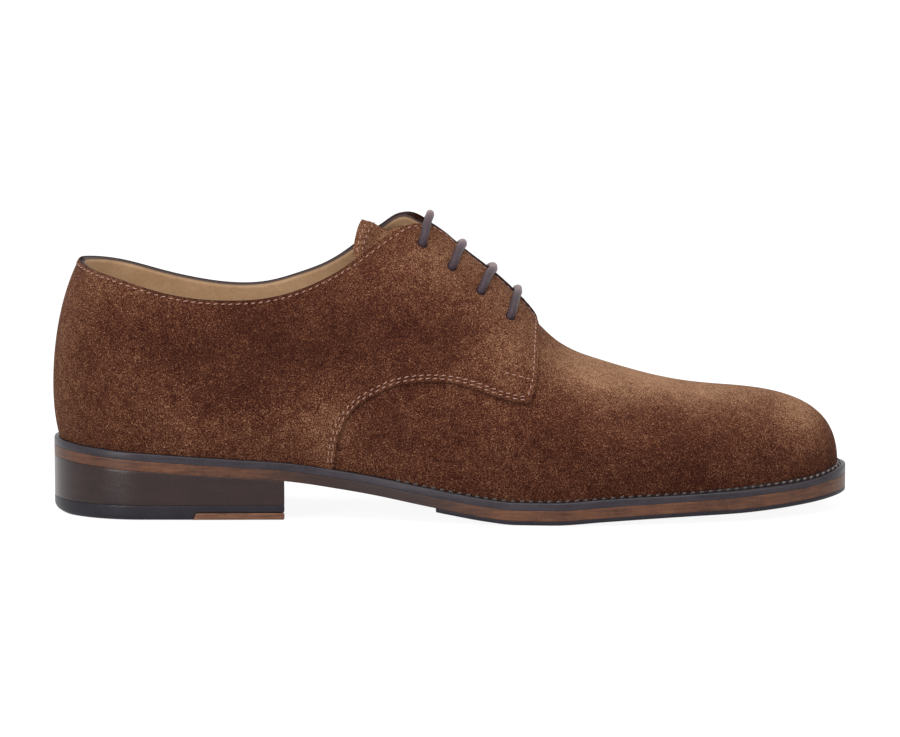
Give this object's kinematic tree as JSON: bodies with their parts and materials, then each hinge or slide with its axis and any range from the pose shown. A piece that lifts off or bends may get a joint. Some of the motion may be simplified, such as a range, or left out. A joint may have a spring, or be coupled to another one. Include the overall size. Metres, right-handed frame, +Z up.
{
  "type": "derby shoe",
  "caption": "Plain low shoe for the right foot with open lacing, a round-ended toe, a welted leather sole with a rubber forefoot piece and a stacked heel.",
  "frame": {"origin": "middle of the heel's flat tread, on the floor", "axes": "+X towards the toe, +Y towards the inner side of the foot, +Z up"},
  "size_m": [0.3042, 0.0978, 0.1139],
  "materials": {
    "suede": "napped brown suede",
    "lining": "smooth tan lining leather",
    "lace": "round waxed cotton, dark brown",
    "welt": "dark stained edge",
    "sole_leather": "brown stained edge",
    "heel_leather": "dark stained stack",
    "rubber": "matt black",
    "tan_leather": "lighter brown leather"
  },
  "bodies": {
    "root": {"upper": "suede", "tongue": "suede", "insole": "lining", "welt": "welt", "outsole": "sole_leather", "forefoot_rubber": "rubber", "heel_stack": "heel_leather", "heel_tip_rubber": "rubber", "heel_tip_leather": "tan_leather", "lace_bar_1": "lace", "lace_bar_2": "lace", "lace_bar_3": "lace", "lace_bar_4": "lace"}
  },
  "joints": []
}
